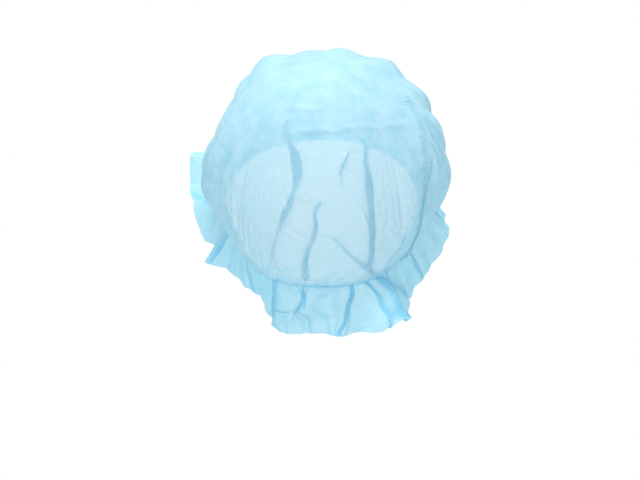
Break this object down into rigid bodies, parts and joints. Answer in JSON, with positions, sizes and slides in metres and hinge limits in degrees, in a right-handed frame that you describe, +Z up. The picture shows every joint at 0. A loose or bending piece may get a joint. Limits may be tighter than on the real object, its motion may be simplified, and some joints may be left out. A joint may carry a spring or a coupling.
{
  "type": "disposable nonwoven hairnet (bouffant cap)",
  "caption": "Light disposable hair cover: a disc of thin nonwoven cloth gathered on an elastic into a puffed crown and a ruffled frill.",
  "frame": {"origin": "centre of the elastic loop, which is where the wearer's head passes into the cap", "axes": "+Z up, +Y the way the wearer faces, +X the wearer's right; the loop leans back by 38.5 degrees, high on the forehead and low on the nape"},
  "size_m": [0.2178, 0.2298, 0.2212],
  "materials": {
    "crown": "thin light-blue spunbonded polypropylene cloth, matt, half see-through in one layer",
    "frill": "the same cloth as the crown, deeper blue where its gathers double",
    "elastic_band": "flat knitted elastic in a deeper blue, matt"
  },
  "bodies": {
    "root": {"crown": "crown", "frill": "frill", "elastic_band": "elastic_band"}
  },
  "joints": []
}
